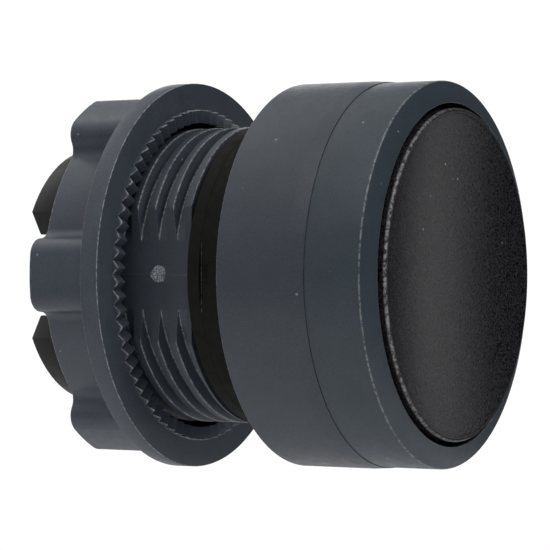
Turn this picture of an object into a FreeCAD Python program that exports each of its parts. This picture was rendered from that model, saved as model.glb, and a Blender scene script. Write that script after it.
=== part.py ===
"""Flush spring-return push-button head for a 22 mm panel hole, with its fixing nut.

Every piece is drawn round the local Z axis, where Z is the depth behind the cap's rim.
Its Placement then lays that axis along +Y, so the button faces -Y, +Z is up and the
origin is the centre of the seat plane, where the bezel's rear face meets the panel.
"""
import FreeCAD, Part
import math
import os
import re

import Sketcher
from FreeCAD import Placement, Rotation, Vector

doc = FreeCAD.newDocument("push_button_head")

# ---------------------------------------------------------------- driving dimensions (mm)
DIMENSIONS = [
    # depths behind the cap's rim
    ("seat_depth", 12.0),
    ("bevel_top_depth", 0.38),
    ("rim_edge_depth", 0.98),
    ("ring_step_depth", 1.9),
    ("seam_depth", 5.17),
    ("chamber_floor_depth", 9.6),
    ("recess_floor_depth", 10.85),
    ("sleeve_end_depth", 16.15),
    ("screw_start_depth", 16.45),
    ("thread_end_depth", 27.6),
    ("screw_end_depth", 27.85),
    # bezel ring and housing radii
    ("ring_radius", 13.87),
    ("bezel_bore", 12.25),
    ("skirt_radius", 14.0),
    ("spigot_radius", 13.2),
    ("chamber_radius", 12.35),
    ("rim_rounding", 0.22),
    ("neck_radius", 9.9),
    ("neck_bore", 8.7),
    # screw thread of the neck: a buttress form, 22 mm over the crests
    ("crest_radius", 11.0),
    ("root_radius", 10.16),
    ("pitch", 1.5),
    ("ridge_start", 15.58),
    ("crest_width", 0.57),
    ("front_flank_run", 0.22),
    ("flat_distance", 9.87),
    ("thread_bury", 0.06),
    ("rear_flank_run", 0.03),
    # cap
    ("cap_radius", 11.9),
    ("cap_inner_radius", 11.0),
    ("cap_skirt_depth", 3.7),
    ("dish_sag", 0.95),
    ("dish_radius", 11.1),
    ("cap_floor", 1.3),
    ("cap_rounding", 0.42),
    # carrier, plunger and guide
    ("carrier_front", 2.32),
    ("carrier_back", 3.6),
    ("tube_radius", 7.6),
    ("tube_bore", 6.55),
    ("tube_end_depth", 20.0),
    ("leg_end_depth", 28.6),
    ("leg_overlap", 0.5),
    ("barb_reach", 0.55),
    ("barb_depth", 26.0),
    ("barb_length", 0.5),
    ("guide_bore", 7.66),
    ("guide_radius", 8.65),
    ("guide_front_depth", 13.6),
    ("guide_floor_depth", 24.6),
    ("lug_radius", 9.65),
    ("lug_end_depth", 31.25),
    ("lug_bore", 7.9),
    ("guide_floor", 1.3),
    ("centre_hole", 2.4),
    ("window_inset", 0.2),
    ("notch_root_x", 6.0),
    ("notch_root_z", 2.75),
    ("notch_throat_x", 7.4),
    ("notch_throat_z", 3.05),
    ("notch_mouth_x", 9.5),
    ("notch_mouth_z", 6.35),
    ("notch_web", 0.45),
    # return spring
    ("wire_radius", 0.3),
    ("coil_radius", 4.9),
    ("coil_count", 8),
    ("coil_end_gap", 0.05),
    # panel gasket
    ("sleeve_radius", 11.05),
    ("sleeve_bore", 9.95),
    ("gasket_radius", 13.12),
    ("gasket_play", 0.06),
    ("face_play", 0.02),
    ("flat_cut", 0.33),
    ("flat_half_width", 4.0),
    ("flat_end_depth", 15.1),
    ("key_cut", 0.42),
    ("key_half_width", 0.98),
    ("key_end_depth", 14.75),
    # fixing nut
    ("nut_face_depth", 21.52),
    ("nut_flange", 1.45),
    ("nut_end_depth", 27.53),
    ("flange_radius", 14.4),
    ("barrel_radius", 12.2),
    ("lobe_radius", 14.1),
    ("lobe_half_width", 2.67),
    ("lobe_count", 6),
    ("lobe_root", 0.8),
    ("lobe_lift", 0.3),
    ("lobe_rounding", 1.2),
    ("teeth_count", 72),
    ("teeth_inner_radius", 11.43),
    ("teeth_outer_radius", 12.4),
    ("teeth_height", 0.52),
    ("tooth_half_width", 0.48),
    ("tooth_root", 0.1),
    ("nut_counterbore_depth", 24.55),
    ("nut_thread_start", 23.08),
    ("nut_thread_radius", 11.12),
    ("nut_crest_radius", 10.35),
    ("nut_crest_front", 0.67),
    ("nut_crest_back", 1.09),
    ("nut_root_back", 1.44),
    # seals, snap ring, washer and seats
    ("oring_depth", 3.1),
    ("oring_section", 0.19),
    ("oring_groove_cut", 0.4),
    ("oring_groove_half", 0.26),
    ("lip_play", 0.04),
    ("lip_width", 0.56),
    ("lip_lift", 0.08),
    ("seal_front_depth", 8.9),
    ("seal_inset", 0.4),
    ("seal_heel", 1.3),
    ("seal_heel_rise", 0.4),
    ("retainer_inner_radius", 8.4),
    ("retainer_front_depth", 8.3),
    ("retainer_back_depth", 8.8),
    ("snap_depth", 20.3),
    ("snap_groove_half", 0.4),
    ("snap_neck_cut", 0.4),
    ("snap_guide_cut", 0.35),
    ("snap_half", 0.3),
    ("snap_inner_cut", 0.28),
    ("snap_outer_cut", 0.3),
    ("washer_depth", 24.15),
    ("washer_inset", 0.3),
    ("spring_front_depth", 7.6),
    ("hub_end_depth", 6.2),
    ("play", 0.05),
]
sheet = doc.addObject("Spreadsheet::Sheet", "Dims")
for row, (alias, size) in enumerate(DIMENSIONS, start=1):
    sheet.set("A%d" % row, alias)
    sheet.set("B%d" % row, str(size))
    sheet.setAlias("B%d" % row, alias)
doc.recompute()


def dim(alias):
    """A driving dimension as a plain number."""
    return float(sheet.get(alias))


def in_sheet(text):
    """Turn words such as seam_depth into sheet references such as Dims.seam_depth."""
    return re.sub(r"[a-z]\w*", lambda word: "Dims." + word.group(0), str(text))


def value(text):
    """The value of an expression of sheet sizes."""
    return float(sheet.evalExpression(in_sheet(text)))


def bind(obj, **sizes):
    """Bind properties to sheet sizes; two underscores in a name stand for a dot."""
    for prop, text in sizes.items():
        obj.setExpression(prop.replace("__", "."), in_sheet(text))


PARTS = []


def keep(obj, label):
    """Name a finished sub-part and lay its axis along +Y with the seat plane at the origin."""
    obj.Label = label
    obj.Placement = Placement(Vector(0, -dim("seat_depth"), 0), Rotation(Vector(1, 0, 0), -90))
    bind(obj, Placement__Base__y="0 - seat_depth")
    PARTS.append(obj)


# ---------------------------------------------------------------- sketches and body features
def attached_sketch(body, name, role, lift=None):
    """An empty sketch on one of the body's origin planes, lifted along its normal if asked."""
    sketch = body.newObject("Sketcher::SketchObject", name)
    support = [f for f in body.Origin.OriginFeatures if f.Role == role][0]
    sketch.AttachmentSupport = [(support, "")]
    sketch.MapMode = "FlatFace"
    if lift:
        bind(sketch, AttachmentOffset__Base__z=lift)
    return sketch


def outline(body, name, role, corners, lift=None):
    """A closed straight-sided sketch; each corner is a pair of sizes from the sheet."""
    sketch = attached_sketch(body, name, role, lift)
    spots = [Vector(value(across), value(along), 0) for across, along in corners]
    count = len(corners)
    for i, spot in enumerate(spots):
        sketch.addGeometry(Part.LineSegment(spot, spots[(i + 1) % count]), False)
    for i in range(count):
        sketch.addConstraint(Sketcher.Constraint("Coincident", i, 2, (i + 1) % count, 1))
    for i, (spot, corner) in enumerate(zip(spots, corners)):
        for kind, size, text in (("DistanceX", spot.x, corner[0]), ("DistanceY", spot.y, corner[1])):
            index = sketch.addConstraint(Sketcher.Constraint(kind, -1, 1, i, 1, size))
            name_of_size = "%s_%d" % (kind[-1], i)
            sketch.renameConstraint(index, name_of_size)
            sketch.setExpression("Constraints." + name_of_size, in_sheet(text))
    return sketch


def new_body(name):
    return doc.addObject("PartDesign::Body", name)


def turn(body, name, corners, kind="Revolution", angle=360, role="XZ_Plane"):
    """Turn a half-section of (radius, depth) corners round Z; part turns are centred on +X."""
    sketch = outline(body, name + "Section", role, corners)
    feature = body.newObject("PartDesign::" + kind, name)
    feature.Profile = sketch
    feature.ReferenceAxis = (sketch, ["V_Axis"])
    feature.Angle = angle
    feature.Midplane = angle < 360
    doc.recompute()
    return feature


def around(body, features, count):
    """Repeat features evenly round Z."""
    pattern = body.newObject("PartDesign::PolarPattern", features[0].Name + "Round")
    pattern.Originals = features
    axis = [f for f in body.Origin.OriginFeatures if f.Role == "Z_Axis"][0]
    pattern.Axis = (axis, [""])
    pattern.Angle = 360
    if isinstance(count, str):
        bind(pattern, Occurrences=count)
    else:
        pattern.Occurrences = count
    body.Tip = pattern
    doc.recompute()
    return pattern


def cut_box(body, name, low, high):
    """Cut an axis-aligned block between two corners given as sheet sizes."""
    block = body.newObject("PartDesign::SubtractiveBox", name)
    bind(block,
         Length="(%s) - (%s)" % (high[0], low[0]),
         Width="(%s) - (%s)" % (high[1], low[1]),
         Height="(%s) - (%s)" % (high[2], low[2]),
         Placement__Base__x=low[0], Placement__Base__y=low[1], Placement__Base__z=low[2])
    doc.recompute()
    return block


def ridge(body, name, corners, height, start=0):
    """A right-hand helical ridge round Z, swept from a (radius, depth) section at an angle."""
    sketch = outline(body, name + "Section", "XZ_Plane", corners)
    sketch.AttachmentOffset = Placement(Vector(0, 0, 0), Rotation(Vector(0, 1, 0), start))
    feature = body.newObject("PartDesign::AdditiveHelix", name)
    feature.Profile = sketch
    feature.ReferenceAxis = (sketch, ["V_Axis"])
    feature.Mode = 0
    feature.LeftHanded = False
    bind(feature, Pitch="pitch", Height=height)
    doc.recompute()
    return feature


def along(body, feature, step, count):
    """Repeat a feature in even steps along Z."""
    pattern = body.newObject("PartDesign::LinearPattern", feature.Name + "Row")
    pattern.Originals = [feature]
    axis = [f for f in body.Origin.OriginFeatures if f.Role == "Z_Axis"][0]
    pattern.Direction = (axis, [""])
    pattern.Occurrences = count
    bind(pattern, Length="%s * %d" % (step, count - 1))
    body.Tip = pattern
    doc.recompute()
    return pattern


def round_edges(body, name, base, radius, wanted):
    """Round every edge of the base feature that the test picks."""
    names = ["Edge%d" % (i + 1) for i, edge in enumerate(base.Shape.Edges)
             if not edge.Degenerated and wanted(edge)]
    fillet = body.newObject("PartDesign::Fillet", name)
    fillet.Base = (base, names)
    bind(fillet, Radius=radius)
    doc.recompute()
    return fillet


def ring_edge(edge, radius, depth):
    """True for a full circle round Z at this radius and depth."""
    curve = edge.Curve
    return (isinstance(curve, Part.Circle) and abs(curve.Radius - radius) < 1e-4
            and abs(curve.Center.z - depth) < 1e-4)


def axial_edge(edge, low, high):
    """True for a straight edge along Z whose distance from the axis is between low and high."""
    if not isinstance(edge.Curve, Part.Line) or abs(edge.tangentAt(edge.FirstParameter).z) < 0.999:
        return False
    middle = edge.CenterOfMass
    return low < (middle.x ** 2 + middle.y ** 2) ** 0.5 < high


# ---------------------------------------------------------------- housing: skirt, neck and screw
def threaded_housing():
    """One moulding: bezel skirt and spigot, neck for the gasket, screw with two flats, bore."""
    body = new_body("Housing")
    turn(body, "HousingTurn", [
        ("chamber_radius", "ring_step_depth + play"),
        ("spigot_radius", "ring_step_depth + play"),
        ("spigot_radius", "oring_depth - oring_groove_half"),
        ("spigot_radius - oring_groove_cut", "oring_depth - oring_groove_half"),
        ("spigot_radius - oring_groove_cut", "oring_depth + oring_groove_half"),
        ("spigot_radius", "oring_depth + oring_groove_half"),
        ("spigot_radius", "seam_depth + play / 2"),
        ("skirt_radius", "seam_depth + play / 2"),
        ("skirt_radius", "seat_depth"),
        ("gasket_radius + gasket_play", "seat_depth"),
        ("gasket_radius + gasket_play", "recess_floor_depth"),
        ("neck_radius", "recess_floor_depth"),
        ("neck_radius", "screw_start_depth"),
        ("root_radius", "screw_start_depth"),
        ("root_radius", "thread_end_depth"),
        ("neck_radius", "thread_end_depth"),
        ("neck_radius", "screw_end_depth"),
        ("neck_bore", "screw_end_depth"),
        ("neck_bore", "snap_depth + snap_groove_half"),
        ("neck_bore + snap_neck_cut", "snap_depth + snap_groove_half"),
        ("neck_bore + snap_neck_cut", "snap_depth - snap_groove_half"),
        ("neck_bore", "snap_depth - snap_groove_half"),
        ("neck_bore", "chamber_floor_depth"),
        ("chamber_radius", "chamber_floor_depth"),
    ])
    flat = cut_box(body, "Flat",
                   ("flat_distance", "0 - crest_radius", "screw_start_depth"),
                   ("crest_radius + 1", "crest_radius", "thread_end_depth"))
    around(body, [flat], 2)
    # The flats leave two arcs of thread a turn, each from one flat's edge to the other's.
    flat_angle = math.degrees(math.acos(dim("flat_distance") / dim("crest_radius")))
    for side, turned_by in (("Lower", flat_angle), ("Upper", flat_angle + 180)):
        lift = "%.6f * pitch" % (turned_by / 360)
        arc = ridge(body, side + "Thread", [
            ("root_radius - thread_bury", "ridge_start - front_flank_run + " + lift),
            ("crest_radius", "ridge_start + " + lift),
            ("crest_radius", "ridge_start + crest_width + " + lift),
            ("root_radius - thread_bury", "ridge_start + crest_width + rear_flank_run + " + lift),
        ], "%.6f * pitch" % (0.5 - flat_angle / 180), start=turned_by)
        along(body, arc, "pitch", 8)
    for name, low, high in (("NeckRelief", "screw_start_depth - 3", "screw_start_depth"),
                            ("ThreadEnd", "thread_end_depth", "thread_end_depth + 3")):
        turn(body, name, [("neck_radius", low), ("crest_radius + 1", low),
                          ("crest_radius + 1", high), ("neck_radius", high)], kind="Groove")
    keep(body, "threaded_housing")


# ---------------------------------------------------------------- bezel ring and its O-ring
def bezel_ring():
    """Front ring that slides over the spigot, with a bevel that rises towards the cap."""
    body = new_body("BezelRing")
    base = turn(body, "BezelRingTurn", [
        ("bezel_bore", "bevel_top_depth"),
        ("ring_radius", "rim_edge_depth"),
        ("ring_radius", "seam_depth - play / 2"),
        ("spigot_radius + play", "seam_depth - play / 2"),
        ("spigot_radius + play", "ring_step_depth"),
        ("bezel_bore", "ring_step_depth"),
    ])
    round_edges(body, "RimRound", base, "rim_rounding",
                lambda edge: ring_edge(edge, dim("ring_radius"), dim("rim_edge_depth")))
    keep(body, "bezel_ring")


def bezel_o_ring():
    """O-ring in the spigot's groove, which seals the bezel ring to the housing."""
    ring = doc.addObject("Part::Torus", "BezelORing")
    bind(ring, Radius1="spigot_radius - 0.2", Radius2="oring_section")
    ring.Label = "bezel_o_ring"
    ring.Placement = Placement(Vector(0, 0, 0), Rotation(Vector(1, 0, 0), -90))
    bind(ring, Placement__Base__y="oring_depth - seat_depth")
    PARTS.append(ring)


# ---------------------------------------------------------------- moving button
def push_cap():
    """Black cap with a shallow spherical dish, a rounded rim and a short skirt."""
    body = new_body("PushCap")
    turn(body, "CapTurn", [
        ("0", "0"),
        ("cap_radius", "0"),
        ("cap_radius", "cap_skirt_depth"),
        ("cap_inner_radius", "cap_skirt_depth"),
        ("cap_inner_radius", "dish_sag + cap_floor"),
        ("0", "dish_sag + cap_floor"),
    ])
    dish = body.newObject("PartDesign::SubtractiveSphere", "Dish")
    ball = "(dish_radius ^ 2 + dish_sag ^ 2) / (2 * dish_sag)"
    bind(dish, Radius=ball, Placement__Base__z="dish_sag - " + ball)
    doc.recompute()
    round_edges(body, "CapRim", dish, "cap_rounding",
                lambda edge: ring_edge(edge, dim("cap_radius"), 0))
    keep(body, "push_cap")


def cap_carrier():
    """Disc that the cap snaps over, with a hub that plugs into the plunger's tube."""
    body = new_body("CapCarrier")
    turn(body, "CarrierTurn", [
        ("0", "carrier_front"),
        ("cap_inner_radius - play", "carrier_front"),
        ("cap_inner_radius - play", "carrier_back"),
        ("tube_bore - play", "carrier_back"),
        ("tube_bore - play", "hub_end_depth"),
        ("tube_bore - 1", "hub_end_depth"),
        ("tube_bore - 1", "carrier_back"),
        ("0", "carrier_back"),
    ])
    keep(body, "cap_carrier")


def plunger():
    """Guided tube with the spring's front seat and two legs that press the contact blocks."""
    body = new_body("Plunger")
    turn(body, "TubeTurn", [
        ("0", "hub_end_depth + play"),
        ("tube_bore", "hub_end_depth + play"),
        ("tube_bore", "carrier_back + play"),
        ("tube_radius", "carrier_back + play"),
        ("tube_radius", "tube_end_depth"),
        ("tube_bore", "tube_end_depth"),
        ("tube_bore", "spring_front_depth"),
        ("0", "spring_front_depth"),
    ])
    leg = turn(body, "Leg", [
        ("tube_bore + play", "tube_end_depth - leg_overlap"),
        ("tube_radius", "tube_end_depth - leg_overlap"),
        ("tube_radius", "leg_end_depth"),
        ("tube_bore + play", "leg_end_depth"),
        ("tube_bore + play", "barb_depth + 2 * barb_length"),
        ("tube_bore - barb_reach", "barb_depth + barb_length"),
        ("tube_bore - barb_reach", "barb_depth"),
        ("tube_bore + play", "barb_depth"),
    ], angle=64)
    around(body, [leg], 2)
    keep(body, "plunger")


def return_spring():
    """Compression spring inside the plunger's tube, at its length with the button out."""
    body = new_body("ReturnSpring")
    sketch = attached_sketch(body, "WireSection", "XZ_Plane")
    first_turn = "spring_front_depth + wire_radius + coil_end_gap"
    centre = Vector(dim("coil_radius"), value(first_turn), 0)
    sketch.addGeometry(Part.Circle(centre, Vector(0, 0, 1), dim("wire_radius")), False)
    sizes = (("DistanceX", centre.x, "coil_radius"), ("DistanceY", centre.y, first_turn))
    for kind, size, text in sizes:
        index = sketch.addConstraint(Sketcher.Constraint(kind, -1, 1, 0, 3, size))
        sketch.renameConstraint(index, kind)
        sketch.setExpression("Constraints." + kind, in_sheet(text))
    index = sketch.addConstraint(Sketcher.Constraint("Radius", 0, dim("wire_radius")))
    sketch.renameConstraint(index, "Wire")
    sketch.setExpression("Constraints.Wire", in_sheet("wire_radius"))
    coil = body.newObject("PartDesign::AdditiveHelix", "Coil")
    coil.Profile = sketch
    coil.ReferenceAxis = (sketch, ["V_Axis"])
    coil.Mode = 2
    bind(coil, Turns="coil_count",
         Height="washer_depth - spring_front_depth - 2 * (wire_radius + coil_end_gap)")
    doc.recompute()
    keep(body, "return_spring")


# ---------------------------------------------------------------- fixed pieces inside the housing
def wiper_seal():
    """Rubber seal with a lip that wipes the plunger's tube."""
    body = new_body("WiperSeal")
    turn(body, "SealTurn", [
        ("tube_radius + lip_play", "seal_front_depth"),
        ("tube_radius + lip_play + lip_width", "seal_front_depth - lip_lift"),
        ("chamber_radius - seal_inset", "seal_front_depth - lip_lift"),
        ("chamber_radius - seal_inset", "chamber_floor_depth - face_play"),
        ("tube_radius + seal_heel", "chamber_floor_depth - face_play"),
        ("tube_radius + lip_play", "chamber_floor_depth - seal_heel_rise"),
    ])
    keep(body, "wiper_seal")


def seal_retainer():
    """Thin ring pressed into the chamber, which holds the wiper seal down."""
    body = new_body("SealRetainer")
    turn(body, "RetainerTurn", [
        ("retainer_inner_radius", "retainer_front_depth"),
        ("chamber_radius - play", "retainer_front_depth"),
        ("chamber_radius - play", "retainer_back_depth"),
        ("retainer_inner_radius", "retainer_back_depth"),
    ])
    keep(body, "seal_retainer")


def spring_seat_washer():
    """Steel washer between the spring and the guide's plastic floor."""
    body = new_body("SpringSeatWasher")
    turn(body, "WasherTurn", [
        ("centre_hole", "washer_depth"),
        ("tube_bore - washer_inset", "washer_depth"),
        ("tube_bore - washer_inset", "guide_floor_depth - face_play"),
        ("centre_hole", "guide_floor_depth - face_play"),
    ])
    keep(body, "spring_seat_washer")


def rear_guide():
    """Black guide in the neck's bore, with the lug ring that takes the contact-block collar."""
    body = new_body("RearGuide")
    turn(body, "GuideTurn", [
        ("centre_hole", "guide_floor_depth"),
        ("guide_bore", "guide_floor_depth"),
        ("guide_bore", "guide_front_depth"),
        ("guide_radius", "guide_front_depth"),
        ("guide_radius", "snap_depth - snap_groove_half"),
        ("guide_radius - snap_guide_cut", "snap_depth - snap_groove_half"),
        ("guide_radius - snap_guide_cut", "snap_depth + snap_groove_half"),
        ("guide_radius", "snap_depth + snap_groove_half"),
        ("guide_radius", "screw_end_depth + play"),
        ("lug_radius", "screw_end_depth + play"),
        ("lug_radius", "lug_end_depth"),
        ("lug_bore", "lug_end_depth"),
        ("lug_bore", "guide_floor_depth + guide_floor"),
        ("centre_hole", "guide_floor_depth + guide_floor"),
    ])
    window = turn(body, "LegWindow", [
        ("tube_bore - window_inset", "guide_floor_depth - 1"),
        ("guide_bore", "guide_floor_depth - 1"),
        ("guide_bore", "guide_floor_depth + guide_floor + 1"),
        ("tube_bore - window_inset", "guide_floor_depth + guide_floor + 1"),
    ], kind="Groove", angle=76)
    around(body, [window], 2)
    notch_outline = outline(body, "NotchOutline", "XY_Plane", [
        ("notch_root_x", "0 - notch_root_z"), ("notch_throat_x", "0 - notch_throat_z"),
        ("notch_mouth_x", "0 - notch_mouth_z"), ("lug_radius + 1", "0 - notch_mouth_z"),
        ("lug_radius + 1", "notch_mouth_z"), ("notch_mouth_x", "notch_mouth_z"),
        ("notch_throat_x", "notch_throat_z"), ("notch_root_x", "notch_root_z"),
    ], lift="screw_end_depth + notch_web")
    notch = body.newObject("PartDesign::Pocket", "Notch")
    notch.Profile = notch_outline
    notch.Reversed = True
    bind(notch, Length="lug_end_depth - screw_end_depth")
    doc.recompute()
    around(body, [notch], 2)
    keep(body, "rear_guide")


def guide_snap_ring():
    """Open spring-steel ring in the grooves of guide and neck, which locks the guide in."""
    body = new_body("GuideSnapRing")
    turn(body, "SnapTurn", [
        ("guide_radius - snap_inner_cut", "snap_depth - snap_half"),
        ("neck_bore + snap_outer_cut", "snap_depth - snap_half"),
        ("neck_bore + snap_outer_cut", "snap_depth + snap_half"),
        ("guide_radius - snap_inner_cut", "snap_depth + snap_half"),
    ], angle=335)
    keep(body, "guide_snap_ring")


# ---------------------------------------------------------------- panel gasket and fixing nut
def panel_gasket():
    """Rubber gasket: a flange in the skirt's recess and a sleeve with a flat and a keyway each side."""
    body = new_body("PanelGasket")
    turn(body, "GasketTurn", [
        ("sleeve_bore", "recess_floor_depth + face_play"),
        ("gasket_radius", "recess_floor_depth + face_play"),
        ("gasket_radius", "seat_depth"),
        ("sleeve_radius", "seat_depth"),
        ("sleeve_radius", "sleeve_end_depth"),
        ("sleeve_bore", "sleeve_end_depth"),
    ], role="YZ_Plane")
    flat = cut_box(body, "SleeveFlat",
                   ("sleeve_radius - flat_cut", "0 - flat_half_width", "seat_depth"),
                   ("sleeve_radius + 1", "flat_half_width", "flat_end_depth"))
    keyway = cut_box(body, "Keyway",
                     ("sleeve_radius - key_cut", "0 - key_half_width", "seat_depth"),
                     ("sleeve_radius", "key_half_width", "key_end_depth"))
    around(body, [flat, keyway], 2)
    keep(body, "panel_gasket")


def fixing_nut():
    """Flanged ring nut with a serrated crown, six grip lobes and an internal screw thread."""
    body = new_body("FixingNut")
    turn(body, "NutBore", [
        ("nut_thread_radius", "nut_counterbore_depth"),
        ("barrel_radius", "nut_counterbore_depth"),
        ("barrel_radius", "nut_end_depth"),
        ("nut_thread_radius", "nut_end_depth"),
    ])
    ridge(body, "NutThread", [
        ("nut_thread_radius + thread_bury", "nut_thread_start + nut_crest_front"),
        ("nut_crest_radius", "nut_thread_start + nut_crest_front"),
        ("nut_crest_radius", "nut_thread_start + nut_crest_back"),
        ("nut_thread_radius + thread_bury", "nut_thread_start + nut_root_back"),
    ], "4.5 * pitch")
    for name, low, high in (("ThreadMouth", "nut_counterbore_depth - 3", "nut_counterbore_depth"),
                            ("ThreadRear", "nut_end_depth", "nut_end_depth + 4")):
        turn(body, name, [("root_radius - 1", low), ("barrel_radius", low),
                          ("barrel_radius", high), ("root_radius - 1", high)], kind="Groove")
    turn(body, "NutFlange", [
        ("teeth_inner_radius", "nut_face_depth"),
        ("flange_radius", "nut_face_depth"),
        ("flange_radius", "nut_face_depth + nut_flange"),
        ("barrel_radius", "nut_face_depth + nut_flange"),
        ("barrel_radius", "nut_counterbore_depth"),
        ("teeth_inner_radius", "nut_counterbore_depth"),
    ])
    lobe_outline = outline(body, "LobeOutline", "XY_Plane", [
        ("barrel_radius - lobe_root", "0 - lobe_half_width"), ("lobe_radius", "0 - lobe_half_width"),
        ("lobe_radius", "lobe_half_width"), ("barrel_radius - lobe_root", "lobe_half_width"),
    ], lift="nut_face_depth + lobe_lift")
    lobe = body.newObject("PartDesign::Pad", "Lobe")
    lobe.Profile = lobe_outline
    bind(lobe, Length="nut_end_depth - nut_face_depth - lobe_lift")
    doc.recompute()
    lobes = around(body, [lobe], "lobe_count")
    round_edges(body, "LobeCorners", lobes, "lobe_rounding", lambda edge: axial_edge(
        edge, dim("barrel_radius") + 1, dim("flange_radius")))
    body.Tip = body.Group[-1]
    tooth_outline = outline(body, "ToothOutline", "YZ_Plane", [
        ("0 - tooth_half_width", "nut_face_depth + tooth_root"),
        ("tooth_half_width", "nut_face_depth + tooth_root"),
        ("tooth_half_width", "nut_face_depth"),
        ("0", "nut_face_depth - teeth_height"),
        ("0 - tooth_half_width", "nut_face_depth"),
    ], lift="teeth_inner_radius + play")
    tooth = body.newObject("PartDesign::Pad", "Tooth")
    tooth.Profile = tooth_outline
    bind(tooth, Length="teeth_outer_radius - teeth_inner_radius - play")
    doc.recompute()
    around(body, [tooth], "teeth_count")
    keep(body, "fixing_nut")


for build in (threaded_housing, bezel_ring, bezel_o_ring, push_cap, cap_carrier, plunger,
              return_spring, wiper_seal, seal_retainer, spring_seat_washer, rear_guide,
              guide_snap_ring, panel_gasket, fixing_nut):
    build()
doc.recompute()

# ---------------------------------------------------------------- check and write
for obj in doc.Objects:
    if {"Invalid", "Error"} & set(obj.State):
        raise RuntimeError("%s failed: %s" % (obj.Name, obj.State))
os.makedirs("parts", exist_ok=True)
for part in PARTS:
    if part.Shape.isNull() or not part.Shape.isValid():
        raise RuntimeError("%s has no valid shape" % part.Label)
    part.Shape.exportStep("parts/%s.step" % part.Label)
    box = part.Shape.BoundBox
    print("%-20s solids %d volume %9.2f mm3  y %7.2f to %7.2f  r %6.2f" % (
        part.Label, len(part.Shape.Solids), part.Shape.Volume, box.YMin, box.YMax, box.XMax))
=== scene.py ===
"""Looks for the push-button head: fine meshes for the pieces that show, materials and studio.

Shapes are worked out in millimetres as a radius and a depth behind the cap's rim, at an
angle measured from +X towards +Z. The button's axis is +Y and the seat plane is at y = 0.
"""
import math

import bmesh
import bpy
import numpy as np
from mathutils import Matrix, Vector


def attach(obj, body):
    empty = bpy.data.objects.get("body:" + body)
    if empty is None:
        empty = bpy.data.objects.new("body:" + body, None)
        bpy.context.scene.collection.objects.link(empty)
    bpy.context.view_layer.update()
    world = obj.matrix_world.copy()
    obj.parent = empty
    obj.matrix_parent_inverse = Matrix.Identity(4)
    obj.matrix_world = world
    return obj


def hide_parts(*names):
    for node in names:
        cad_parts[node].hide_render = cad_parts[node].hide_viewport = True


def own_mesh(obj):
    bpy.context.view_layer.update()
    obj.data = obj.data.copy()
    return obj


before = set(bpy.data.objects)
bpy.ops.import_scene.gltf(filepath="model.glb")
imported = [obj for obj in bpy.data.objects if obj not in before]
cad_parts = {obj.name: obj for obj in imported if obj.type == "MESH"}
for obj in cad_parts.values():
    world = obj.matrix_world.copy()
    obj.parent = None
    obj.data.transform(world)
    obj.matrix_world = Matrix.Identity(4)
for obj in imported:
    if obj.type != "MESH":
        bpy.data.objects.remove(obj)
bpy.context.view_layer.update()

MM = 0.001
SEAT = 12.0                   # depth of the seat plane
PITCH = 1.5
CREST, ROOT = 11.0, 10.16     # screw radii
CREST_START = 17.081          # depth of the crest's front edge at +X
CREST_WIDTH = 0.54            # from the crest's front edge
FOOT = -0.25                  # where the front flank starts, from the crest's front edge
THREAD_LOW, THREAD_HIGH = 16.45, 27.6     # depths between which the screw's rows lie
FLAT = 9.87                   # distance of the screw's flats from the axis
NECK, NECK_BORE = 9.9, 8.7    # radii of the neck, outside and inside
SNAP_GROOVE = (19.9, 20.7)    # depths of the snap ring's groove, in the neck and in the guide
NUT_FACE, NUT_END = 21.52, 27.53          # depths of the nut's toothed face and its rear
COUNTERBORE = 24.55           # depth at which the nut's thread starts
GASKET_BORE = 9.92            # radius


# ---------------------------------------------------------------- mesh helpers
def rounded(corners, steps=5):
    """Points of an outline of (radius, depth, rounding) corners, with arcs for roundings.

    A point is (radius, depth, wear_and_glint), where wear_and_glint is 1 in the middle of a
    rounded outer edge, or the corner's fourth value if it has one: a pale edge line that is
    partly wear and partly painted highlight.
    """
    points = []
    count = len(corners)
    for i, (r, d, rounding, *most_wear_and_glint) in enumerate(corners):
        here = np.array([r, d])
        before = np.array(corners[i - 1][:2]) - here
        after = np.array(corners[(i + 1) % count][:2]) - here
        if not rounding:
            points.append((r, d, 0.0))
            continue
        before /= np.linalg.norm(before)
        after /= np.linalg.norm(after)
        half = math.acos(np.clip(before @ after, -1, 1)) / 2
        reach = rounding / math.tan(half)
        middle = (before + after) / np.linalg.norm(before + after)
        centre = here + middle * rounding / math.sin(half)
        start = here + before * reach - centre
        end = here + after * reach - centre
        sweep = math.atan2(start[0] * end[1] - start[1] * end[0], start @ end)
        outer = (most_wear_and_glint or [1])[0] if sweep > 0 else 0
        for k in range(steps + 1):
            turn = sweep * k / steps
            cos, sin = math.cos(turn), math.sin(turn)
            points.append((centre[0] + start[0] * cos - start[1] * sin,
                           centre[1] + start[0] * sin + start[1] * cos,
                           outer * math.sin(math.pi * k / steps)))
    return points


def sew(mesh, sharp):
    """Join doubled points, drop stray edges, close small holes and shade the mesh smooth."""
    clean = bmesh.new()
    clean.from_mesh(mesh)
    bmesh.ops.remove_doubles(clean, verts=clean.verts, dist=2e-6)
    bmesh.ops.dissolve_degenerate(clean, dist=1e-6, edges=clean.edges)
    stray = [edge for edge in clean.edges if not edge.link_faces]
    bmesh.ops.delete(clean, geom=stray, context="EDGES")
    rims = [edge for edge in clean.edges if edge.is_boundary]
    bmesh.ops.holes_fill(clean, edges=rims, sides=8)
    bmesh.ops.recalc_face_normals(clean, faces=clean.faces)
    clean.to_mesh(mesh)
    clean.free()
    mesh.polygons.foreach_set("use_smooth", [True] * len(mesh.polygons))
    mesh.set_sharp_from_angle(angle=math.radians(sharp))


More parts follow.
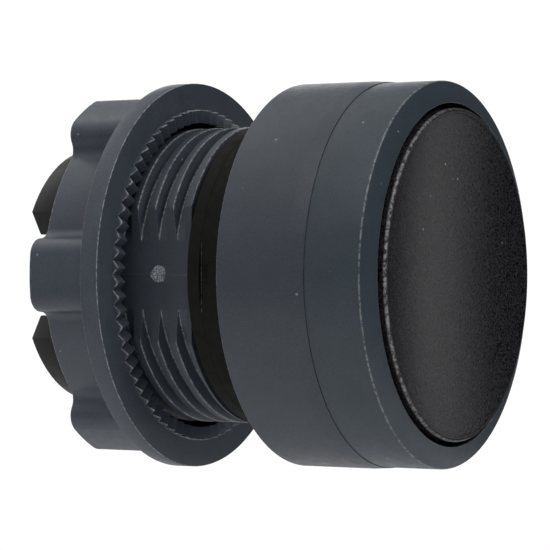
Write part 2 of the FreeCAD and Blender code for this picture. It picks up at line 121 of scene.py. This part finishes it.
def add_mesh(name, corners, faces, wear_and_glint, sharp=35):
    """A clean closed mesh object from points in millimetres, each with its wear_and_glint: a pale
    edge mark that is partly wear and partly painted highlight.
    """
    mesh = bpy.data.meshes.new(name)
    mesh.from_pydata((np.asarray(corners) * MM).tolist(), [], faces)
    mesh.attributes.new("wear_and_glint", "FLOAT", "POINT").data.foreach_set("value", wear_and_glint)
    sew(mesh, sharp)
    piece = bpy.data.objects.new(name, mesh)
    bpy.context.scene.collection.objects.link(piece)
    return piece


def even_angles(count):
    """Evenly spaced angles in degrees, from 0 up."""
    return np.arange(count) * 360.0 / count


def lathe(rows, angles, partner=None):
    """Points, faces and wear_and_glint of a closed skin of (radius, depth, wear_and_glint) rows
    round the axis.

    Each of the three may be one number or one for each angle, and wear_and_glint may be left
    out; it marks pale edges that are partly wear and partly painted highlight. The rows close
    into a loop. partner says which row each row meets where the last angle joins the first.
    """
    count, rows_count = len(angles), len(rows)
    cos, sin = np.cos(np.radians(angles)), np.sin(np.radians(angles))
    points = np.zeros((rows_count, count, 3))
    wear_and_glint = np.zeros((rows_count, count))
    for i, (radius, depth, *worn_and_lit) in enumerate(rows):
        points[i, :, 0] = radius * cos
        points[i, :, 1] = np.broadcast_to(depth, count) - SEAT
        points[i, :, 2] = radius * sin
        wear_and_glint[i] = worn_and_lit[0] if worn_and_lit else 0
    partner = partner or list(range(rows_count))
    faces = []
    for i in range(rows_count):
        nxt = (i + 1) % rows_count
        for j in range(count - 1):
            faces.append((i * count + j, i * count + j + 1, nxt * count + j + 1, nxt * count + j))
        last = count - 1
        ring = (i * count + last, partner[i] * count, partner[nxt] * count, nxt * count + last)
        faces.append(tuple(dict.fromkeys(ring)))
    return points.reshape(-1, 3), [face for face in faces if len(face) > 2], wear_and_glint.ravel()


def spun(corners, columns=360):
    """A lathed skin of rounded corners, the same all the way round."""
    return lathe(rounded(corners), even_angles(columns))


def joined(*skins):
    """Several skins as one."""
    faces, start = [], 0
    for points, some_faces, _ in skins:
        faces += [tuple(index + start for index in face) for face in some_faces]
        start += len(points)
    points = np.concatenate([skin[0] for skin in skins])
    return points, faces, np.concatenate([skin[2] for skin in skins])


def piece(name, skin, body, node, slot, material, sharp=35):
    """Make a piece, let it stand for a CAD node and give it its material."""
    obj = add_mesh(name, *skin, sharp)
    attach(obj, body)
    if node:
        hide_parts(node)
    obj.data.materials.append(material)
    return obj


# ---------------------------------------------------------------- screw thread
def thread_rows(knots, low, high, angles, limit=None):
    """Rows of a right-hand thread between two depths.

    knots are (offset, radius, wear_and_glint) along one pitch, counted from the crest's front
    edge.
    limit is the largest radius at each angle, which cuts the flats. Where it cuts the front
    flank, the flank's rows move to the place where the flank meets the flat, so that the
    groove's tapering end keeps a clean pale edge line, partly wear and partly painted highlight.
    Rows clipped at either end show no pale edge.
    """
    row_gap, margin = 0.004, 0.03
    offsets, radii, worn_and_lit = np.array(knots).T
    fall = PITCH * angles / 360
    first = math.floor((low - CREST_START) / PITCH) - 1
    turns = math.ceil((high - low) / PITCH) + 3
    long_offsets = np.concatenate([offsets[-1:] - PITCH, offsets, offsets[:1] + PITCH])
    long_radii = np.concatenate([radii[-1:], radii, radii[:1]])
    if limit is not None:
        rising = (offsets > FOOT - 0.01) & (offsets < CREST_WIDTH / 2)
        flank_end = np.interp(limit, radii[rising], offsets[rising])
    rows = []
    for turn in range(first, first + turns):
        for i, (offset, wear_and_glint) in enumerate(zip(offsets, worn_and_lit)):
            cut_here = limit is not None and offset < CREST_WIDTH / 2
            if cut_here:
                offset = np.minimum(offset, flank_end + row_gap * i)
                wear_and_glint = wear_and_glint * (limit > ROOT + margin)
            whole = CREST_START + turn * PITCH + offset - fall
            depth = np.clip(whole, low, high)
            wear_and_glint = wear_and_glint * (whole > low + margin) * (whole < high - margin)
            along = (depth - CREST_START + fall - offsets[0]) % PITCH + offsets[0]
            radius = np.interp(along, long_offsets, long_radii)
            if limit is not None:
                wear_and_glint = wear_and_glint if cut_here else wear_and_glint * (radius < limit)
                radius = np.minimum(radius, limit)
            rows.append((radius, depth, wear_and_glint))
    return rows


def seam_partners(before, rows_count, per_turn, after):
    """Which row meets which at the seam: within a thread, the next turn's or the last turn's."""
    inside = [before + min(max(i + per_turn, 0), rows_count - 1) for i in range(rows_count)]
    total = before + rows_count + after
    return list(range(before)) + inside + list(range(before + rows_count, total))


def angles_with(edges, count=480, fine=0.35):
    """Even angles, with more of them inside each (from, to) stretch, about fine degrees apart."""
    angles = set(np.round(even_angles(count), 4))
    for low, high in edges:
        stretch = np.linspace(low, high, max(2, int((high - low) / fine) + 1))
        angles |= set(np.round(stretch % 360, 4))
    return np.array(sorted(angles))


def flat_limit(angles, distance):
    """The radius at which a ray meets the flats on +X and -X."""
    return distance / np.maximum(np.abs(np.cos(np.radians(angles))), 1e-6)


# ---------------------------------------------------------------- materials
def link(tree, source, target):
    """Join an output to an input."""
    tree.links.new(source, target)


class Surface:
    """A Principled material with short ways to add procedural nodes."""

    def __init__(self, name):
        self.material = bpy.data.materials.new(name)
        self.material.use_nodes = True
        self.tree = self.material.node_tree
        self.shader = self.tree.nodes["Principled BSDF"]
        self.place = self.node("ShaderNodeTexCoord").outputs["Object"]

    def node(self, kind, **inputs):
        """A new node with its inputs set to numbers or linked to other nodes' outputs."""
        node = self.tree.nodes.new(kind)
        for name, content in inputs.items():
            socket = node.inputs[name.replace("_", " ")]
            if isinstance(content, bpy.types.NodeSocket):
                link(self.tree, content, socket)
            else:
                socket.default_value = content
        return node

    def noise(self, scale, detail, rough=0.55):
        """Noise over the object's own coordinates, so it stays with the piece as it moves."""
        return self.node("ShaderNodeTexNoise", Vector=self.place, Scale=scale, Detail=detail,
                         Roughness=rough).outputs["Fac"]

    def ramp(self, source, *stops):
        """A colour ramp; a stop's colour may be one grey number or three."""
        node = self.node("ShaderNodeValToRGB", Fac=source)
        for element, (position, colour) in zip(node.color_ramp.elements, stops):
            element.position = position
            element.color = [colour] * 3 + [1] if isinstance(colour, float) else [*colour, 1]
        return node.outputs["Color"]

    def mix(self, blend, factor, a, b):
        """Mix two colours, each a linked output or three numbers."""
        node = self.node("ShaderNodeMix")
        node.data_type = "RGBA"
        node.blend_type = blend
        for name, content in (("Factor", factor), ("A", a), ("B", b)):
            socket = [i for i in node.inputs if i.name == name and i.enabled][0]
            if isinstance(content, bpy.types.NodeSocket):
                link(self.tree, content, socket)
            else:
                socket.default_value = content if isinstance(content, float) else [*content, 1]
        return [o for o in node.outputs if o.enabled][0]

    def bump(self, height, strength, distance, invert=False):
        """Add a bump on top of those before it."""
        relief = self.node("ShaderNodeBump", Height=height, Strength=strength, Distance=distance)
        relief.invert = invert
        if self.shader.inputs["Normal"].is_linked:
            before = self.shader.inputs["Normal"].links[0].from_socket
            link(self.tree, before, relief.inputs["Normal"])
        link(self.tree, relief.outputs["Normal"], self.shader.inputs["Normal"])


def moulded(name, colour, roughness, grain, bump, mottle=0.08, dust=0.0, worn_and_lit=0.0, specular=0.4,
            fleck=0.14, fleck_grain=9000, gloss_grain=1500):
    """Moulded plastic or rubber: mottled colour, uneven gloss, fine grain, dust, and pale
    edges that are partly wear and partly painted highlight.
    """
    surface = Surface(name)
    surface.shader.inputs["Specular IOR Level"].default_value = specular
    dark = [c * (1 - mottle) for c in colour]
    light = [c * (1 + mottle) for c in colour]
    tint = surface.ramp(surface.noise(420, 6), (0.3, dark), (0.7, light))
    flecks = surface.ramp(surface.noise(fleck_grain, 2), (0.35, 1.0 - fleck), (0.65, 1.0 + fleck))
    tint = surface.mix("MULTIPLY", 1.0, tint, flecks)
    if dust:
        cells = surface.node("ShaderNodeTexVoronoi", Vector=surface.place, Scale=800)
        spot = surface.ramp(cells.outputs["Distance"], (0.05, 1.0), (0.09, 0.0))
        chosen = surface.ramp(cells.outputs["Color"], (0.70, 0.0), (0.75, dust))
        tint = surface.mix("ADD", 1.0, tint, surface.mix("MULTIPLY", 1.0, spot, chosen))
    # Pale edge colour along the wear_and_glint attribute: partly real wear, partly painted
    # highlight on lit edges.
    if worn_and_lit:
        edge = surface.node("ShaderNodeAttribute")
        edge.attribute_name = "wear_and_glint"
        patch = surface.ramp(surface.noise(3800, 3, 0.7), (0.42, 0.10), (0.57, 1.0))
        lit_and_rubbed = surface.node("ShaderNodeMath")
        lit_and_rubbed.operation = "MULTIPLY"
        link(surface.tree, edge.outputs["Fac"], lit_and_rubbed.inputs[0])
        link(surface.tree, patch, lit_and_rubbed.inputs[1])
        pale = [0.55 * c + worn_and_lit for c in colour]
        tint = surface.mix("MIX", lit_and_rubbed.outputs["Value"], tint, pale)
    link(surface.tree, tint, surface.shader.inputs["Base Color"])
    gloss = surface.ramp(surface.noise(gloss_grain, 4),
                         (0.3, roughness * 0.88), (0.7, roughness * 1.12))
    link(surface.tree, gloss, surface.shader.inputs["Roughness"])
    surface.bump(surface.noise(grain, 3, 0.6), bump, 0.00004)
    return surface


def leathery(name, colour, roughness):
    """The cap's spark-eroded face: a fine crisp grain with larger soft pebbles under it."""
    surface = moulded(name, colour, roughness, grain=5200, bump=0.3, mottle=0.1, dust=0.25,
                      worn_and_lit=0.34, fleck=1.0, fleck_grain=6500, gloss_grain=6500)
    surface.shader.inputs["IOR"].default_value = 1.2
    pebbles = surface.node("ShaderNodeTexVoronoi", Vector=surface.place, Scale=5200)
    pebbles.feature = "SMOOTH_F1"
    surface.bump(pebbles.outputs["Distance"], 0.15, 0.00003, invert=True)
    return surface.material


def cracked(name, colour):
    """The torn gate stub: pale crumbs with painted shade along the cracks between them."""
    surface = moulded(name, colour, 0.7, grain=9000, bump=0.9, mottle=0.3)
    crumbs = surface.node("ShaderNodeTexVoronoi", Vector=surface.place, Scale=4200)
    crumbs.feature = "DISTANCE_TO_EDGE"
    # Darker lines at the cells' edges: painted shade in the cracks.
    crack_shade = surface.ramp(crumbs.outputs["Distance"], (0.02, 0.3), (0.16, 1.0))
    tint = surface.shader.inputs["Base Color"].links[0].from_socket
    tint = surface.mix("MULTIPLY", 1.0, tint, crack_shade)
    link(surface.tree, tint, surface.shader.inputs["Base Color"])
    return surface.material


def drawn_steel(name):
    """Bright drawn steel with a fine grain."""
    surface = moulded(name, (0.55, 0.55, 0.57), 0.3, grain=12000, bump=0.15, mottle=0.06)
    surface.shader.inputs["Metallic"].default_value = 1
    return surface.material


bezel_plastic = moulded(
    "bezel_plastic", (0.037, 0.051, 0.066), 0.40, 6500, 0.10, dust=0.20, worn_and_lit=0.20).material
housing_plastic = moulded(
    "housing_plastic", (0.045, 0.055, 0.070), 0.40, 6500, 0.12, dust=0.20, worn_and_lit=0.24).material
nut_plastic = moulded(
    "nut_plastic", (0.056, 0.068, 0.088), 0.40, 3000, 0.05, dust=0.15, worn_and_lit=0.28).material
guide_plastic = moulded(
    "guide_plastic", (0.007, 0.0075, 0.009), 0.4, 5000, 0.08, dust=0.04, worn_and_lit=0.05,
    specular=0.2).material
gasket_rubber = moulded(
    "gasket_rubber", (0.0100, 0.0094, 0.0086), 0.75, 4200, 0.35, dust=0.03, worn_and_lit=0.30,
    specular=0.15).material
inner_plastic = moulded("inner_plastic", (0.30, 0.31, 0.32), 0.5, 5000, 0.1).material
seal_rubber = moulded("seal_rubber", (0.02, 0.02, 0.02), 0.6, 5000, 0.2).material
cap_plastic = leathery("cap_plastic", (0.0160, 0.0155, 0.0190), 0.15)
spring_steel = drawn_steel("spring_steel")
gate_plastic = cracked("gate_plastic", (0.27, 0.30, 0.33))


# ---------------------------------------------------------------- pieces
def bezel_ring():
    """Front ring: bevel rising to the cap, hairline seam at the back."""
    mouth, outer, inner = 12.25, 13.87, 13.26
    front, bevel_end, lip_end, seam = 0.38, 0.98, 1.9, 5.17
    # Rounded outer edges, most of all the front edge, get a pale line that is partly wear and
    # partly painted highlight; the seam's rounding gets none.
    skin = spun([
        (mouth, front, 0.05), (outer, bevel_end, 0.15), (outer, seam, 0.02, 0), (inner, seam, 0),
        (inner, lip_end, 0), (mouth, lip_end, 0.05),
    ], 420)
    piece("bezel_ring_moulding", skin, "housing", "bezel_ring", "bezel", bezel_plastic)


def housing():
    """Skirt, spigot, neck and screw in one skin.

    The skirt tapers a little towards the seam, and a faint parting line runs along the flat.
    """
    crest_angle = math.degrees(math.acos(FLAT / CREST))
    flat_angle = 12.0             # inside this, the flats cut below the thread's roots
    angles = angles_with([(side - crest_angle, side - flat_angle) for side in (180, 360)]
                         + [(side + flat_angle, side + crest_angle) for side in (0, 180)]
                         + [(178.5, 181.5)], 400, 0.4)
    # The 0.9 rows at the flank's foot paint a highlight line in the concave corner; the crest
    # edges' 1 and 0.5 rows are pale lines, partly wear, partly painted highlight.
    knots = [(FOOT - 0.05, ROOT, 0), (FOOT - 0.015, ROOT, 0.9), (FOOT, ROOT + 0.002, 0.9),
             (-0.215, ROOT + 0.02, 0.9), (-0.18, ROOT + 0.139, 0),
             (-0.03, CREST - 0.11, 0), (0.0, CREST - 0.03, 1), (0.035, CREST - 0.004, 1),
             (0.08, CREST, 0), (CREST_WIDTH - 0.05, CREST, 0), (CREST_WIDTH, CREST - 0.012, 0.5),
             (0.57, CREST - 0.06, 0), (0.60, ROOT, 0)]
    line_height, line_width = 0.03, 0.25
    parting_line = line_height * np.exp(-(((angles - 180) / line_width) ** 2))
    limit = flat_limit(angles, FLAT) + parting_line
    screw = thread_rows(knots, THREAD_LOW, THREAD_HIGH, angles, limit)
    chamber, chamber_floor = 12.35, 9.6
    spigot, spigot_face = 13.2, 1.95
    ring_groove, groove_front, groove_back = 12.8, 2.84, 3.36
    skirt, seam, seam_radius, taper_end = 14.0, 5.19, 13.92, 6.4
    recess, recess_floor = 13.18, 10.85
    snap_radius, (snap_front, snap_back) = 9.1, SNAP_GROOVE
    neck_end = 27.85
    front = rounded([
        (chamber, spigot_face, 0), (spigot, spigot_face, 0.05), (spigot, groove_front, 0),
        (ring_groove, groove_front, 0), (ring_groove, groove_back, 0), (spigot, groove_back, 0),
        (spigot, seam, 0), (seam_radius, seam, 0.03, 0), (skirt, taper_end, 0.6, 0),
        (skirt, SEAT, 0.06), (recess, SEAT, 0.04), (recess, recess_floor, 0),
        (NECK, recess_floor, 0), (NECK, THREAD_LOW, 0),
    ])
    back = rounded([
        (NECK, THREAD_HIGH, 0), (NECK, neck_end, 0.08), (NECK_BORE, neck_end, 0.08),
        (NECK_BORE, snap_back, 0), (snap_radius, snap_back, 0), (snap_radius, snap_front, 0),
        (NECK_BORE, snap_front, 0), (NECK_BORE, chamber_floor, 0.1),
        (chamber, chamber_floor, 0.1),
    ])
    rows = front + screw + back
    partner = seam_partners(len(front), len(screw), -len(knots), len(back))
    skin = lathe(rows, angles, partner)
    piece("housing_moulding", skin, "housing", "threaded_housing", "housing", housing_plastic, 30)


def gate_mark():
    """The torn-off stub of the mould's gate on the near flat: a low crumbly disc."""
    columns, rings, radius = 26, 6, 0.63
    behind_seat, up = 7.19, 0.06
    sunk, dome, crumb = 0.03, 0.10, 0.06
    rng = np.random.default_rng(7)
    turn = np.radians(even_angles(columns))
    lumps = 1 + 0.05 * np.cos(3 * turn + 0.6) + 0.04 * np.cos(5 * turn)
    points, faces = [], []
    for share in np.linspace(0, 0.97, rings + 1):
        spread = radius * lumps * math.cos(share * math.pi / 2) ** 0.45
        crumbs = crumb * rng.random(columns) * min(1.0, share * 2)
        height = -sunk + dome * min(1.0, share * 3) + crumbs
        for k in range(columns):
            points.append((-FLAT - height[k], behind_seat + spread[k] * math.cos(turn[k]),
                           up + spread[k] * math.sin(turn[k])))
    for i in range(rings):
        for k in range(columns):
            nxt = (k + 1) % columns
            faces.append((i * columns + k, i * columns + nxt,
                          (i + 1) * columns + nxt, (i + 1) * columns + k))
    faces.append(tuple(range(columns)))
    faces.append(tuple(range(rings * columns, (rings + 1) * columns)))
    skin = (points, faces, np.zeros(len(points)))
    piece("gate_mark", skin, "housing", None, "housing", gate_plastic, 12)


def cap():
    """Dished cap: a shallow sphere inside a rounded rim, with a pale line on the rim's rounding:
    a little wear all round and a painted highlight strongest on the -X side.
    """
    dish_radius, sag, radius = 11.65, 0.95, 11.9
    dish_edge, rim_edge, inside = 11.55, 11.62, 11.0
    cap_end, roof = 3.7, sag + 1.3
    ball = (dish_radius ** 2 + sag ** 2) / (2 * sag)
    dish = [(r, sag - ball + math.sqrt(ball ** 2 - r ** 2))
            for r in np.linspace(0.0, dish_edge, 45)]
    angles = even_angles(420)
    # Pale rim line: 0.2 of wear all round, plus a painted highlight towards -X, where the light
    # falls.
    lit_and_rubbed = 0.2 + 0.8 * np.clip(-np.cos(np.radians(angles)), 0, 1)
    rim = rounded([(dish_edge, dish[-1][1], 0), (rim_edge, 0.0, 0), (radius, 0.0, 0.22, lit_and_rubbed),
                   (radius, cap_end, 0.1), (inside, cap_end, 0), (inside, roof, 0),
                   (0.0, roof, 0)], 7)
    skin = lathe(dish[:-1] + rim, angles)
    piece("cap_moulding", skin, "button", "push_cap", "cap", cap_plastic, 40)


def gasket():
    """Rubber flange and sleeve, with a flat and a shallow keyway each side."""
    angles = angles_with([(side - 15.5, side - 12.0) for side in (180, 360)]
                         + [(side + 12.0, side + 15.5) for side in (0, 180)]
                         + [(172, 188), (0, 8), (352, 359.9)], fine=0.3)
    sleeve, flat_end, end = 11.05, 3.10, 4.15
    flange, flange_front = 13.12, 10.87
    key_half, key_end, key_round = 0.98, 2.75, 0.35
    key_depth, key_slope = 0.09, 0.08
    flat = np.minimum(flat_limit(angles, 10.72), sleeve)
    across = sleeve * np.sin(np.radians(angles))

    def keyway(y):
        """Depth of the keyway at this distance behind the seat: open in front, round behind."""
        beside = np.maximum(np.abs(across) - key_half + key_round, 0)
        away = np.hypot(beside, max(y - key_end + key_round, 0))
        return key_depth * np.clip((key_round - away) / key_slope, 0, 1)

    gritty_and_lit = 1.0 * (np.abs(across) < 2.6)     # the flat's rear edge is pale in the middle: scuffs and dust, plus a painted highlight
    rows = rounded([(GASKET_BORE, flange_front, 0), (flange, flange_front, 0),
                    (flange, SEAT, 0.06)])
    rows += [(flat + 0.06, SEAT), (flat - keyway(0.0) + 0.02, SEAT + 0.02),
             (flat - keyway(0.0), SEAT + 0.06)]
    rows += [(flat - keyway(y), SEAT + y) for y in np.arange(0.12, flat_end - 0.05, 0.06)]
    rows += [(flat, SEAT + flat_end - 0.02), (flat + 0.02, SEAT + flat_end, gritty_and_lit),
             (np.clip(sleeve - 0.04, flat + 0.02, flat + 0.10), SEAT + flat_end + 0.01),
             (np.maximum(flat + 0.02, sleeve - 0.04), SEAT + flat_end + 0.03),
             (sleeve, SEAT + flat_end + 0.08), (sleeve, SEAT + flat_end + 0.12)]
    rows += [(sleeve, SEAT + end - 0.12), (sleeve - 0.04, SEAT + end - 0.04),
             (sleeve - 0.12, SEAT + end), (GASKET_BORE + 0.08, SEAT + end),
             (GASKET_BORE, SEAT + end - 0.08)]
    skin = lathe(rows, angles)
    piece("gasket_moulding", skin, "gasket", "panel_gasket", "gasket", gasket_rubber, 30)


def lobe_radius(angles, inset):
    """Radius of the nut's six-lobed grip, drawn in by inset."""
    outer, half, barrel = 14.1 - inset, 2.67 - inset, 12.2 - inset
    corner, root = 1.3 - inset, 1.0 + inset
    corner_y = half - corner
    corner_x = math.sqrt((outer - corner) ** 2 - corner_y ** 2)
    root_y = half + root
    root_x = math.sqrt((barrel + root) ** 2 - root_y ** 2)
    tip = math.atan2(corner_y, corner_x)
    heel = math.atan2(root_y, root_x)
    outline = [(outer * math.cos(a), outer * math.sin(a)) for a in np.linspace(0, tip, 6)]
    outline += [(corner_x + corner * math.cos(a), corner_y + corner * math.sin(a))
                for a in np.linspace(tip, math.pi / 2, 14)]
    outline += [(root_x + root * math.cos(a), root_y + root * math.sin(a))
                for a in np.linspace(-math.pi / 2, heel - math.pi, 12)]
    outline += [(barrel * math.cos(a), barrel * math.sin(a))
                for a in np.linspace(heel, math.pi / 6, 8)]
    turn = [math.degrees(math.atan2(y, x)) for x, y in outline]
    radius = [math.hypot(x, y) for x, y in outline]
    near = np.abs((angles + 30) % 60 - 30)
    return np.interp(near, turn, radius)


def nut():
    """Flanged nut: 72 radial teeth round the front, six lobes, counterbore and thread."""
    teeth, tooth_height, cut = 72, 0.52, 0.94
    bore, flange = 11.43, 14.40
    edges = [(side + a, side + b) for side in range(0, 360, 60)
             for a, b in ((-16.8, -5.5), (5.5, 16.8))]
    angles = angles_with(edges, 576, 0.3)
    share = ((angles - 180) / (360 / teeth)) % 1
    tooth = tooth_height * np.minimum(1 - np.abs(2 * share - 1), cut) / cut
    flange_back = NUT_FACE + 1.45
    # Third values mark pale lines on the teeth's outer zigzag and the flange's edges, and
    # lobe_edge's on the lobes: partly wear, partly painted highlight.
    rows = [
        (bore, COUNTERBORE), (bore, NUT_FACE - tooth * 0.95), (bore + 0.03, NUT_FACE - tooth),
        (12.33, NUT_FACE - tooth), (12.37, NUT_FACE - tooth, 1.0),
        (12.41, NUT_FACE - tooth * 0.85, 1.0), (12.43, NUT_FACE - tooth * 0.7),
        (12.44, NUT_FACE), (14.33, NUT_FACE), (14.365, NUT_FACE + 0.012, 1.0),
        (14.388, NUT_FACE + 0.035, 1.0), (flange, NUT_FACE + 0.07), (flange, flange_back - 0.08),
        (14.39, flange_back - 0.04, 0.6), (14.36, flange_back - 0.01, 0.6), (14.32, flange_back),
    ]
    lobe_fillet = ((-0.10, 0.0), (-0.04, 0.02), (-0.01, 0.06), (0.0, 0.11))
    for inset, depth in lobe_fillet:
        rows.append((lobe_radius(angles, inset), flange_back + depth))
    lobe_edge = ((0.0, 0.16, 0), (0.02, 0.07, 0.8), (0.07, 0.02, 0.8), (0.15, 0.0, 0))
    for inset, depth, wear_and_glint in lobe_edge:
        rows.append((lobe_radius(angles, inset), NUT_END - depth, wear_and_glint))
    rows.append((11.3, NUT_END))
    knots = [(-0.41, 10.35, 0), (-0.08, 11.12, 0), (0.67, 11.12, 0), (0.69, 10.35, 0)]
    inner = thread_rows(knots, COUNTERBORE, NUT_END - 0.02, angles)[::-1]
    skin = lathe(rows + inner, angles, seam_partners(len(rows), len(inner), len(knots), 0))
    piece("nut_moulding", skin, "nut", "fixing_nut", "nut", nut_plastic, 30)


def prism(outline, low, high, bevel):
    """Skin of a block over an (x, z) outline, bevelled at both ends of its depth."""
    flat = np.array(outline)
    edge = np.roll(flat, -1, 0) - flat
    edge /= np.linalg.norm(edge, axis=1)[:, None]
    normal = np.stack([edge[:, 1], -edge[:, 0]], 1)
    corner = normal + np.roll(normal, 1, 0)
    corner /= np.maximum((corner * normal).sum(1), 0.3)[:, None]
    count = len(flat)
    points = []
    for inset, depth in ((bevel, low), (0.3 * bevel, low + 0.3 * bevel), (0, low + bevel),
                         (0, high - bevel), (0.3 * bevel, high - 0.3 * bevel), (bevel, high)):
        for x, z in flat - corner * inset:
            points.append((x, depth - SEAT, z))
    faces = [tuple(range(count)), tuple(range(5 * count, 6 * count))]
    for i in range(5):
        for k in range(count):
            nxt = (k + 1) % count
            faces.append((i * count + k, i * count + nxt,
                          (i + 1) * count + nxt, (i + 1) * count + k))
    # Pale lines on the bevels: partly wear, partly painted highlight.
    wear_and_glint = np.repeat([0, 0.7, 0, 0, 0.7, 0], count)
    return np.array(points), faces, wear_and_glint


def rear_guide():
    """Black guide: tube, floor with two leg windows, and a lug above and below the slots."""
    bore, wall, front, back = 7.66, 8.65, 13.6, 28.3
    snap_radius, (snap_front, snap_back) = 8.3, SNAP_GROOVE
    tube = spun([
        (bore, front, 0.06), (wall, front, 0.12), (wall, snap_front, 0),
        (snap_radius, snap_front, 0), (snap_radius, snap_back, 0), (wall, snap_back, 0),
        (wall, back, 0), (bore, back, 0),
    ], 240)
    angles = even_angles(360)
    beside = np.abs((angles + 90) % 180 - 90)
    window_half, window_edge, floor_edge = 38, 6.35, 7.8
    hole, floor_front, floor_back = 2.4, 24.6, 25.9
    edge = np.where(beside < window_half, window_edge, floor_edge)
    floor = lathe([(hole, floor_front), (edge, floor_front), (edge, floor_back),
                   (hole, floor_back)], angles)
    lugs = []
    lug_front, lug_end, lug_bevel = 27.9, 31.25, 0.16
    mouth = [(6.0, 2.75), (7.4, 3.05), (9.5, 6.35)]
    slope = (mouth[2][1] - mouth[1][1]) / (mouth[2][0] - mouth[1][0])

    def slot_end(radius):
        """Where the slanted side of the slot's mouth meets a circle."""
        for x in np.arange(mouth[1][0], mouth[2][0], 0.002):
            z = mouth[1][1] + slope * (x - mouth[1][0])
            if math.hypot(x, z) >= radius:
                return math.atan2(z, x)

    outer, inner = 9.65, 7.9
    for side in (1, -1):
        outline = [(outer * math.cos(a), side * outer * math.sin(a))
                   for a in np.linspace(slot_end(outer), math.pi - slot_end(outer), 90)]
        outline += [(inner * math.cos(a), side * inner * math.sin(a))
                    for a in np.linspace(math.pi - slot_end(inner), slot_end(inner), 80)]
        if side == -1:
            outline.reverse()
        lugs.append(prism(outline, lug_front, lug_end, lug_bevel))
    skin = joined(tube, floor, *lugs)
    piece("guide_moulding", skin, "housing", "rear_guide", "guide", guide_plastic, 30)


def return_spring():
    """The CAD spring's own shape as a piece of its own, carried by the housing."""
    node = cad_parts["return_spring"]
    coil = bpy.data.objects.new("return_spring_coil", node.data.copy())
    bpy.context.scene.collection.objects.link(coil)
    coil.matrix_world = node.matrix_world.copy()
    coil.data.materials.clear()
    coil.data.materials.append(spring_steel)
    sew(coil.data, 40)
    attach(coil, "housing")
    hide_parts("return_spring")
    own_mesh(coil)


bezel_ring()
housing()
gate_mark()
cap()
gasket()
nut()
rear_guide()
return_spring()

CAD_FINISHES = {
    "bezel_o_ring": seal_rubber, "wiper_seal": seal_rubber, "cap_carrier": inner_plastic,
    "seal_retainer": inner_plastic, "plunger": guide_plastic,
    "spring_seat_washer": spring_steel, "guide_snap_ring": spring_steel,
}
for node, material in CAD_FINISHES.items():
    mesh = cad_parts[node].data
    mesh.materials.clear()
    mesh.materials.append(material)


# ---------------------------------------------------------------- studio
# Soft lamps that the camera doesn't see: name, place, width and height in metres, power in watts.
LAMPS = (
    ("key", (-0.32, -0.01, 0.42), 0.45, 0.45, 0.50),
    ("back", (0.10, 0.50, 0.30), 0.40, 0.40, 0.4),
    ("strip", (0.428, -0.195, 0.0), 0.12, 0.065, 0.023),
    ("rim", (0.44, 0.25, 0.08), 0.30, 0.30, 0.50),
    ("front", (-0.09, -0.36, 0.31), 0.18, 0.18, 0.8),
    ("side", (-0.40, 0.30, 0.05), 0.30, 0.30, 0.08),
)


def studio():
    """White floor, a soft sky that is dim at eye level, and the lamps."""
    bpy.ops.mesh.primitive_plane_add(size=0.18, location=(-0.035, -0.005, -0.030))
    floor = bpy.context.object
    floor.name = "floor"
    paper = bpy.data.materials.new("floor_paper")
    paper.use_nodes = True
    shader = paper.node_tree.nodes["Principled BSDF"]
    shader.inputs["Base Color"].default_value = (0.93, 0.93, 0.93, 1)
    shader.inputs["Roughness"].default_value = 0.9
    shader.inputs["Specular IOR Level"].default_value = 0
    floor.data.materials.append(paper)

    world = bpy.data.worlds.new("studio")
    bpy.context.scene.world = world
    world.use_nodes = True
    tree = world.node_tree
    sky = tree.nodes["Background"]
    height = tree.nodes.new("ShaderNodeVectorMath")
    height.operation = "DOT_PRODUCT"
    height.inputs[1].default_value = (-0.12, 0.32, 0.94)
    link(tree, tree.nodes.new("ShaderNodeTexCoord").outputs["Generated"], height.inputs[0])
    ramp = tree.nodes.new("ShaderNodeValToRGB")
    low, high = ramp.color_ramp.elements
    low.position, low.color = 0.02, (0.05, 0.05, 0.052, 1)
    high.position, high.color = 0.95, (0.92, 0.92, 0.92, 1)
    shoulder = ramp.color_ramp.elements.new(0.40)
    shoulder.color = (0.16, 0.16, 0.165, 1)
    link(tree, height.outputs["Value"], ramp.inputs["Fac"])
    link(tree, ramp.outputs["Color"], sky.inputs["Color"])
    sky.inputs["Strength"].default_value = 0.9
    white = tree.nodes.new("ShaderNodeBackground")
    white.inputs["Color"].default_value = (1, 1, 1, 1)
    white.inputs["Strength"].default_value = 1.05
    path = tree.nodes.new("ShaderNodeLightPath")
    mix = tree.nodes.new("ShaderNodeMixShader")
    link(tree, path.outputs["Is Camera Ray"], mix.inputs["Fac"])
    link(tree, sky.outputs["Background"], mix.inputs[1])
    link(tree, white.outputs["Background"], mix.inputs[2])
    link(tree, mix.outputs["Shader"], tree.nodes["World Output"].inputs["Surface"])

    for name, place, width, tall, power in LAMPS:
        lamp = bpy.data.lights.new(name, "AREA")
        lamp.energy = power
        lamp.shape = "RECTANGLE"
        lamp.size, lamp.size_y = width, tall
        holder = bpy.data.objects.new(name, lamp)
        holder.location = place
        holder.visible_camera = False
        holder.rotation_euler = (-Vector(place)).to_track_quat("-Z", "Y").to_euler()
        bpy.context.scene.collection.objects.link(holder)


def camera():
    """A long lens level with the axis, looking at the near side and the cap."""
    data = bpy.data.cameras.new("camera")
    data.sensor_width = 36
    data.lens = 167
    data.clip_start = 0.01
    holder = bpy.data.objects.new("camera", data)
    turn = math.radians(60.66)    # of the view, from +Y towards +X
    distance, aside = 182.2, 12.4
    ahead = Vector((math.sin(turn), math.cos(turn), 0))
    right = Vector((math.cos(turn), -math.sin(turn), 0))
    bezel_centre = Vector((0, -11.03, 0)) * MM
    holder.location = bezel_centre - ahead * distance * MM - right * aside * MM
    axes = Matrix((right, Vector((0, 0, 1)), -ahead)).transposed()
    holder.rotation_euler = axes.to_euler()
    bpy.context.scene.collection.objects.link(holder)
    bpy.context.scene.camera = holder
    bpy.context.scene.view_settings.view_transform = "Standard"


studio()
camera()
